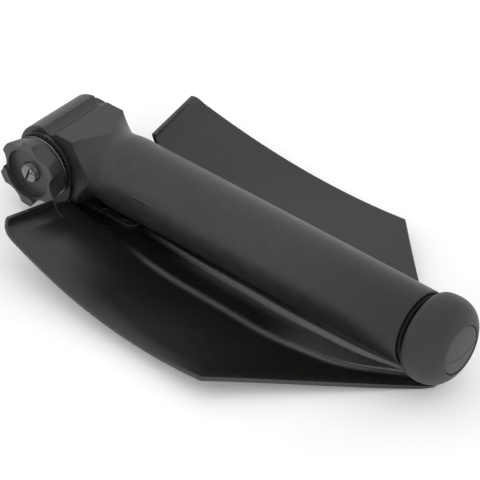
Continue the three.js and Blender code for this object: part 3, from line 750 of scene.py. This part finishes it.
def bracket_field(x, y, z):
    """Two ears joined by a plate that runs on toward +X as a tongue."""
    side_y = np.abs(y)
    ear = np.hypot(x, z - np.clip(z, -EAR_DROP, 0)) - EAR_RADIUS
    ear = both(ear, np.abs(side_y - EAR_Y) - HALF_SHEET, 0.32)
    web = np.maximum(np.maximum(-9.5 - x, x - 10.5), side_y - 18.7)
    flank = (side_y - 12.4 - 0.514 * np.maximum(15.0 - x, 0)) * 0.9
    clipped_end = np.maximum((x + side_y - 58.9) * 0.7071, 8.0 - x)
    tongue = np.maximum(np.maximum(flank, x - 49.5), clipped_end)
    plate = both(np.minimum(web, tongue), np.abs(z - PLATE_Z) - HALF_SHEET, 0.3)
    body = either(ear, plate, 0.6)
    near_hole = np.maximum(np.hypot(x, z) - 5.05, y + 17.0)
    far_hole = np.maximum(np.maximum(np.abs(x), np.abs(z)) - 5.15, 17.0 - y)
    return np.maximum(body, -np.minimum(near_hole, far_hole))


bracket = surface("hinge_bracket_pressing", bracket_field, steps((-17.2, 50.4, 0.5)),
                  steps((-21.0, -17.0, 0.3), (-17.0, 17.0, 0.8), (17.0, 21.0, 0.3)),
                  steps((-24.7, -18.4, 0.3), (-18.4, 17.2, 0.55)))
dress(bracket, BRACKET, "blade_set", "hinge_bracket")


# ---------------------------------------------------------------- blade sheet
def smoothed(stations, width):
    """Dense (x, value) curve through stations, averaged over this width."""
    x = np.linspace(stations[0][0], stations[-1][0], 2001)
    y = np.interp(x, [s[0] for s in stations], [s[1] for s in stations])
    k = max(3, int(width / (x[1] - x[0])) | 1)
    before, after = 2 * y[0] - y[1:k // 2 + 1][::-1], 2 * y[-1] - y[-k // 2:-1][::-1]
    padded = np.concatenate([before, y, after])
    return x, np.convolve(padded, np.ones(k) / k, "valid")[: len(x)]


EDGE_START_X, SHOULDER_X, TIP_X = 24.9, 148.5, 223.6
SHOULDER_HALF_WIDTH = 75.0
SHEET_START_X = 27.0                   # the treads roll up from here
TREAD_INNER_Y, TREAD_BEND, TREAD_START_ANGLE = 35.6, 8.0, 18
TONGUE_HALF_WIDTH = 20.4
# (x, z) of the sheet's middle line near the hinge, then of the channel floor
CENTRE = smoothed([[13, -19.3], [25, -19.5], [60, -20.6], [100, -21.6], [TIP_X, -25.3]], 14)
FLOOR = smoothed([[13, -21.7], [50, -21.7], [70, -22.5], [90, -23.25], [130, -23.85],
                  [180, -24.6], [TIP_X, -25.3]], 18)
# (x, distance of the fold from the middle line)
CREASE = smoothed([[13, 24.0], [27, 24.0], [42, 23.5], [60, 25.0], [74, 26.5], [88, 27.4],
                   [102, 27.6], [120, 27.6], [142, 28.2], [154, 27.4], [163, 25.9],
                   [174, 24.0], [182, 22.4], [192, 18.0], [203, 11.0], [212, 5.0],
                   [TIP_X, 1.5]], 9)
# (x, height of the channel wall)
WALL = smoothed([[13, 1.8], [160, 1.8], [190, 1.4], [205, 0.7], [TIP_X, 0.1]], 14)
# (share of the way out to the fold, share of the wall's height)
GUTTER = smoothed([[0, 0], [0.23, 0], [0.47, 1], [1.6, 1]], 0.08)
# (tread bend angle in degrees, half width)
TREAD_WIDTHS = [(18, 69.81), (31, 69.7), (44, 69.3), (58, 68.6), (72, 67.4), (80, 66.6),
                (86, 65.4)]
INNER_COLUMNS, FOLD_COLUMNS, WING_COLUMNS = 44, 14, 34     # each side of the middle line
TREAD_COLUMN = INNER_COLUMNS + FOLD_COLUMNS
COLUMNS = TREAD_COLUMN + WING_COLUMNS


def edge_z(x):
    """Height of the blade's outer edge."""
    t = (x - EDGE_START_X) / (SHOULDER_X - EDGE_START_X)
    start, end = -1.44, -15.0
    middle = (start + end) / 2 - 14.36
    early = start * (1 - t) ** 2 + 2 * t * (1 - t) * middle + t * t * end
    late = end - 10.4 * (x - SHOULDER_X) / (TIP_X - SHOULDER_X)
    return np.where(x > SHOULDER_X, late, early)


def half_width(x):
    t = np.maximum(0, (x - EDGE_START_X) / (SHOULDER_X - EDGE_START_X))
    late = (SHOULDER_HALF_WIDTH * (1 - (x - SHOULDER_X) / (TIP_X - SHOULDER_X))
            + 3.0 * ramp(SHOULDER_X, TIP_X, x))
    return np.where(x > SHOULDER_X, late, 69.8 + 5.2 * t + 7.08 * t * (1 - t))


def blade_z(x, y):
    """Top of the sheet: a middle channel, a soft fold either side of it, then the wings."""
    side_y = np.abs(y)
    width, edge, centre = half_width(x), edge_z(x), np.interp(x, *CENTRE)
    bottom, crease, wall = (np.interp(x, *curve) for curve in (FLOOR, CREASE, WALL))
    away = ramp(36, 78, x)                                 # 0 beside the hinge, 1 along the blade
    near_fold = centre + (edge - centre) * crease / width
    fold = (1 - away) * near_fold + away * (bottom + wall + 0.15)
    bead = 0.72 * ramp(50, 76, x) * ramp(222, 200, x)
    bead = bead * np.exp(-((side_y - crease + 1.1) / 1.9) ** 2)
    u = np.clip((side_y - crease) / np.maximum(width - crease, 0.5), 0, 1.3)
    outer = fold + (edge - fold) * (u + 0.82 * away * (u * u - u)) + bead
    share = np.clip(side_y / crease, 0, 1)
    near = np.clip((share - 0.5) / 0.5, 0, 1) ** 1.6
    gutter = np.interp(share, *GUTTER)
    inner = bottom + (fold - bottom) * ((1 - away) * near + away * gutter) + bead
    return np.where(side_y >= crease, outer, inner)


def row_distances(x):
    """Distances of the mesh columns from the middle line, on one side."""
    first_width = float(half_width(SHEET_START_X))
    first_crease = float(np.interp(SHEET_START_X, *CREASE))
    cut = (TREAD_INNER_Y - first_crease) / (first_width - first_crease)
    width, crease = float(half_width(x)), float(np.interp(x, *CREASE))
    split = crease + cut * (width - crease)
    lane = np.linspace(0, 1, FOLD_COLUMNS + 1)[1:] ** 1.35     # closer lines beside the fold
    return np.concatenate([np.linspace(0, crease, INNER_COLUMNS + 1),
                           crease + (split - crease) * lane,
                           np.linspace(split, width, WING_COLUMNS + 1)[1:]])


def signed(distances, column):
    return math.copysign(distances[abs(column)], column) if column else 0.0


def add_wings(points, faces):
    """Main sheet. Returns its first row as {column: point}, column 0 on the middle line."""
    rows = np.concatenate([np.linspace(SHEET_START_X, SHOULDER_X, 92),
                           np.linspace(SHOULDER_X, TIP_X, 60)[1:]])
    across = 2 * COLUMNS + 1
    for x in rows:
        distances = row_distances(x)
        for j in range(-COLUMNS, COLUMNS + 1):
            y = signed(distances, j)
            points.append((x, y, float(blade_z(x, y))))
    for i in range(len(rows) - 1):
        for a in range(i * across, i * across + 2 * COLUMNS):
            faces.append([a, a + across, a + across + 1, a + 1])
    return {j: j + COLUMNS for j in range(-COLUMNS, COLUMNS + 1)}


def add_treads(points, faces, previous):
    """Rolled treads either side of the hinge."""
    angles = np.linspace(TREAD_START_ANGLE, 86, 15)[1:]
    widths = np.interp(angles, *zip(*TREAD_WIDTHS))
    start = math.radians(TREAD_START_ANGLE)
    for angle, width in zip(np.radians(angles), widths):
        current = {}
        for side in (-1, 1):
            for k in range(WING_COLUMNS + 1):
                y = side * (TREAD_INNER_Y + (width - TREAD_INNER_Y) * k / WING_COLUMNS)
                x = SHEET_START_X - TREAD_BEND * (math.sin(angle) - math.sin(start))
                rise = TREAD_BEND * (math.cos(start) - math.cos(angle))
                current[side * (TREAD_COLUMN + k)] = len(points)
                points.append((x, y, float(blade_z(SHEET_START_X, y)) + rise))
        for side in (-1, 1):
            for k in range(TREAD_COLUMN, COLUMNS):
                low, high = sorted((side * k, side * (k + 1)))
                faces.append([current[low], previous[low], previous[high], current[high]])
        previous = current


def add_front(points, faces, previous):
    """Sheet reaching toward -X between the treads, and further under the head."""
    distances = row_distances(SHEET_START_X)
    narrow = max(k for k in range(TREAD_COLUMN + 1) if distances[k] <= TONGUE_HALF_WIDTH)
    wide_end, front = 18.2, 13.0
    rows = np.concatenate([np.linspace(SHEET_START_X, wide_end, 8)[1:],
                           np.linspace(wide_end, front, 6)[1:]])
    for x in rows:
        current = {}
        half = TREAD_COLUMN if x > wide_end - 0.1 else narrow
        for j in range(-half, half + 1):
            y = signed(distances, j)
            slope = 0.018 + 0.3 * float(ramp(17, 32, abs(y)))
            current[j] = len(points)
            points.append((x, y, float(blade_z(SHEET_START_X, y)) + (SHEET_START_X - x) * slope))
        for j in range(-half, half):
            faces.append([current[j], previous[j], previous[j + 1], current[j + 1]])
        previous = current


def painted_light_amount(x, y):
    """Painted light on the blade: painted highlights along the folds, a painted reflection band in
    the channel beside the tube, painted light in the channel toward the point and over the far
    wing, and a painted highlight on the far tread's outer end.
    """
    crease, side_y = np.interp(x, *CREASE), np.abs(y)
    wear_and_painted_light = 0.62 * ramp(52, 80, x) * np.exp(-((side_y - crease + 0.6) / 1.5) ** 2)
    wear_and_painted_light += 0.62 * ramp(138, 174, x) * ramp(crease + 1.5, crease - 1.5, side_y)
    wear_and_painted_light += 0.95 * ramp(70, 105, x) * np.exp(-((side_y - 11.0) / 4.0) ** 2) * ramp(176, 140, x)
    wear_and_painted_light += 0.15 * ramp(4, 30, y)
    wear_and_painted_light += 0.30 * np.exp(-((x - 14) / 7.0) ** 2 - ((y - 69) / 9.0) ** 2)
    return wear_and_painted_light


def painted_shade_amount(x, y):
    """Painted shade: weaker reflections on the inner part of the knob-side wing and along the
    treads' inner ends.
    """
    side_y = np.abs(y)
    rim = 13.0 - 8.0 * ramp(60, 120, x)
    painted_shade = ramp(40, 78, x) * ramp(-20, -32, y) * ramp(0.5, rim + 4.0, half_width(x) - side_y)
    return np.maximum(painted_shade, (x < 27.2) * (np.abs(side_y - TREAD_INNER_Y) < 0.25) * 1.0)


def blade_sheet():
    points, faces = [], []
    first_row = add_wings(points, faces)
    add_treads(points, faces, first_row)
    add_front(points, faces, first_row)
    ob = to_object("blade_sheet", points, np.array(faces))
    solid = ob.modifiers.new("thickness", "SOLIDIFY")
    solid.thickness = 2.0 * MM
    solid.offset = -1
    solid.use_even_offset = True
    add_bevel(ob, "deburr", width=0.17, angle=50)
    ob.data.set_sharp_from_angle(angle=math.radians(180))
    x, y, _ = np.array(points).T
    # the blade's painted light and painted shade, kept as attributes on the mesh
    for name, amount in (("wear_and_painted_light", painted_light_amount(x, y)), ("painted_shade", painted_shade_amount(x, y))):
        layer = ob.data.attributes.new(name, "FLOAT", "POINT")
        layer.data.foreach_set("value", np.clip(amount, 0, 1).astype(np.float32))
    return ob


dress(blade_sheet(), BLADE, "blade_set", "blade")

RIVETS = [(28.5, -7), (28.5, 7), (42, -7), (42, 7)]        # x, y
for i, (x, y) in enumerate(RIVETS, 1):
    under = float(blade_z(x, y)) - 2.3
    # z, radius, optional corner radius
    profile = [(under - 0.62, 0, 0), (under - 0.5, 2.2, 1.0), (under, 3.8, 0.2),
               (under, 2.4, 0.05), (-19.25, 2.4, 0.05), (-19.25, 3.8, 0.2), (-18.85, 3.2, 0.4),
               (-18.75, 0, 0)]
    rivet = lathe(f"sheet_rivet_{i}", rounded(profile, 0.1, 4, closed=False), "z", (x, y), 48,
                  closed=False, sharp=60)
    dress(rivet, BLACK, "blade_set", f"bracket_rivet_{i}")


# ---------------------------------------------------------------- saw
def saw_plate():
    end, top, tip, root = 229.2, 11.0, -11.0, -7.6         # x, then heights about the tube axis
    teeth, first, last = 20, 63.0, 212.0
    thickness = 1.2
    pitch = (last - first) / teeth
    outline = [(end, top), (76.0, top), (62.0, 5.0), (62.6, root)]
    for i in range(teeth):
        x = first + pitch * i
        outline += [(x + 0.4, root), (x + pitch * 0.5, tip)]
    outline += [(last, root), (last + 2, tip), (end, tip)]
    bm = bmesh.new()
    verts = [bm.verts.new(Vector((x, -thickness / 2, z + TUBE_AXIS_Z)) * MM + Vector(HINGE))
             for x, z in outline]
    face = bm.faces.new(verts)
    made = bmesh.ops.extrude_face_region(bm, geom=[face])["geom"]
    bmesh.ops.translate(bm, verts=[e for e in made if isinstance(e, bmesh.types.BMVert)],
                        vec=Vector((0, thickness * MM, 0)))
    bmesh.ops.recalc_face_normals(bm, faces=bm.faces)
    mesh = bpy.data.meshes.new("saw_plate")
    bm.to_mesh(mesh)
    bm.free()
    ob = bpy.data.objects.new("saw_plate", mesh)
    bpy.context.scene.collection.objects.link(ob)
    add_bevel(ob, "edges", width=0.22, angle=40)
    return ob


dress(saw_plate(), STEEL, "saw", "saw_blade")

# ---------------------------------------------------------------- CAD nodes that stay
KEPT = {
    "bolt_bushing": STEEL, "knob_insert": BRASS, "expander_sleeve": INNER,
    "expander_cone": INNER, "cone_stud": STEEL, "tube_front_plug": INNER,
    "saw_pin_1": STEEL, "saw_pin_2": STEEL,
}
for name, material in KEPT.items():
    node = frame["nodes"][name]
    node.data.materials.clear()
    node.data.materials.append(material)
    add_bevel(node, "edges", width=0.1, angle=40)

# ---------------------------------------------------------------- stage
scene = bpy.context.scene
EAR_REST_Z, TIP_REST_Z = -23.85, -27.37


def floor_paper():
    material, tree, shader = new_material("floor_paper")
    place = object_place(tree)
    cloud = remap(tree, noise(tree, place, size=60, detail=3), span=(0.3, 0.7))
    darker, lighter = (0.93, 0.93, 0.93), (0.96, 0.96, 0.955)
    feed(tree, shader.inputs["Base Color"], mix_colour(tree, cloud, darker, lighter))
    shader.inputs["Roughness"].default_value = 0.8
    shader.inputs["Specular IOR Level"].default_value = 0.1
    grain = noise(tree, place, size=3, detail=3)
    feed(tree, shader.inputs["Normal"], bump(tree, grain, depth=0.02))
    shader.inputs["Emission Color"].default_value = (1, 1, 1, 1)
    shader.inputs["Emission Strength"].default_value = 0.12
    return material


def studio_floor():
    mesh = bpy.data.meshes.new("studio_floor")
    bm = bmesh.new()
    bmesh.ops.create_grid(bm, x_segments=8, y_segments=8, size=6.0)
    bm.to_mesh(mesh)
    bm.free()
    ob = bpy.data.objects.new("studio_floor", mesh)
    scene.collection.objects.link(ob)
    # the tool rests on its two ears and the blade's tip, so the floor falls slightly along +X
    ears = Vector((HINGE[0], 0, HINGE[2] + EAR_REST_Z * MM))
    tip = Vector((HINGE[0] + TIP_X * MM, 0, HINGE[2] + TIP_REST_Z * MM))
    ob.rotation_euler = (0, math.atan2(ears.z - tip.z, tip.x - ears.x), 0)
    ob.location = tip + Vector((0, 0, -0.00005))
    ob.data.materials.append(floor_paper())


def studio_world():
    """Even white light from all round."""
    world = bpy.data.worlds.new("studio")
    scene.world = world
    world.use_nodes = True
    tree = world.node_tree
    tree.nodes.clear()
    output = tree.nodes.new("ShaderNodeOutputWorld")
    background = tree.nodes.new("ShaderNodeBackground")
    tree.links.new(background.outputs[0], output.inputs[0])
    background.inputs["Color"].default_value = (1.0, 1.0, 1.0, 1)
    background.inputs["Strength"].default_value = 1.0


def add_camera():
    data = bpy.data.cameras.new("camera")
    camera = bpy.data.objects.new("camera", data)
    scene.collection.objects.link(camera)
    right = Vector((0.76168773, 0.64790374, 0.00724856))
    up = Vector((-0.4085722, 0.47158236, 0.78145943))
    back = Vector((0.50289219, -0.59818962, 0.62391395))
    place = Vector((0.6452106, -0.6396738, 0.6631283)) + Vector(HINGE)     # metres
    turn = Matrix((right, up, back)).transposed().to_4x4()
    camera.matrix_world = Matrix.Translation(place) @ turn
    data.sensor_width = 36.0
    data.sensor_fit = "HORIZONTAL"
    data.lens = 170.9535
    data.clip_start = 0.05
    data.clip_end = 30
    scene.camera = camera


studio_floor()
studio_world()
add_camera()
scene.view_settings.view_transform = "Standard"
scene.view_settings.look = "None"
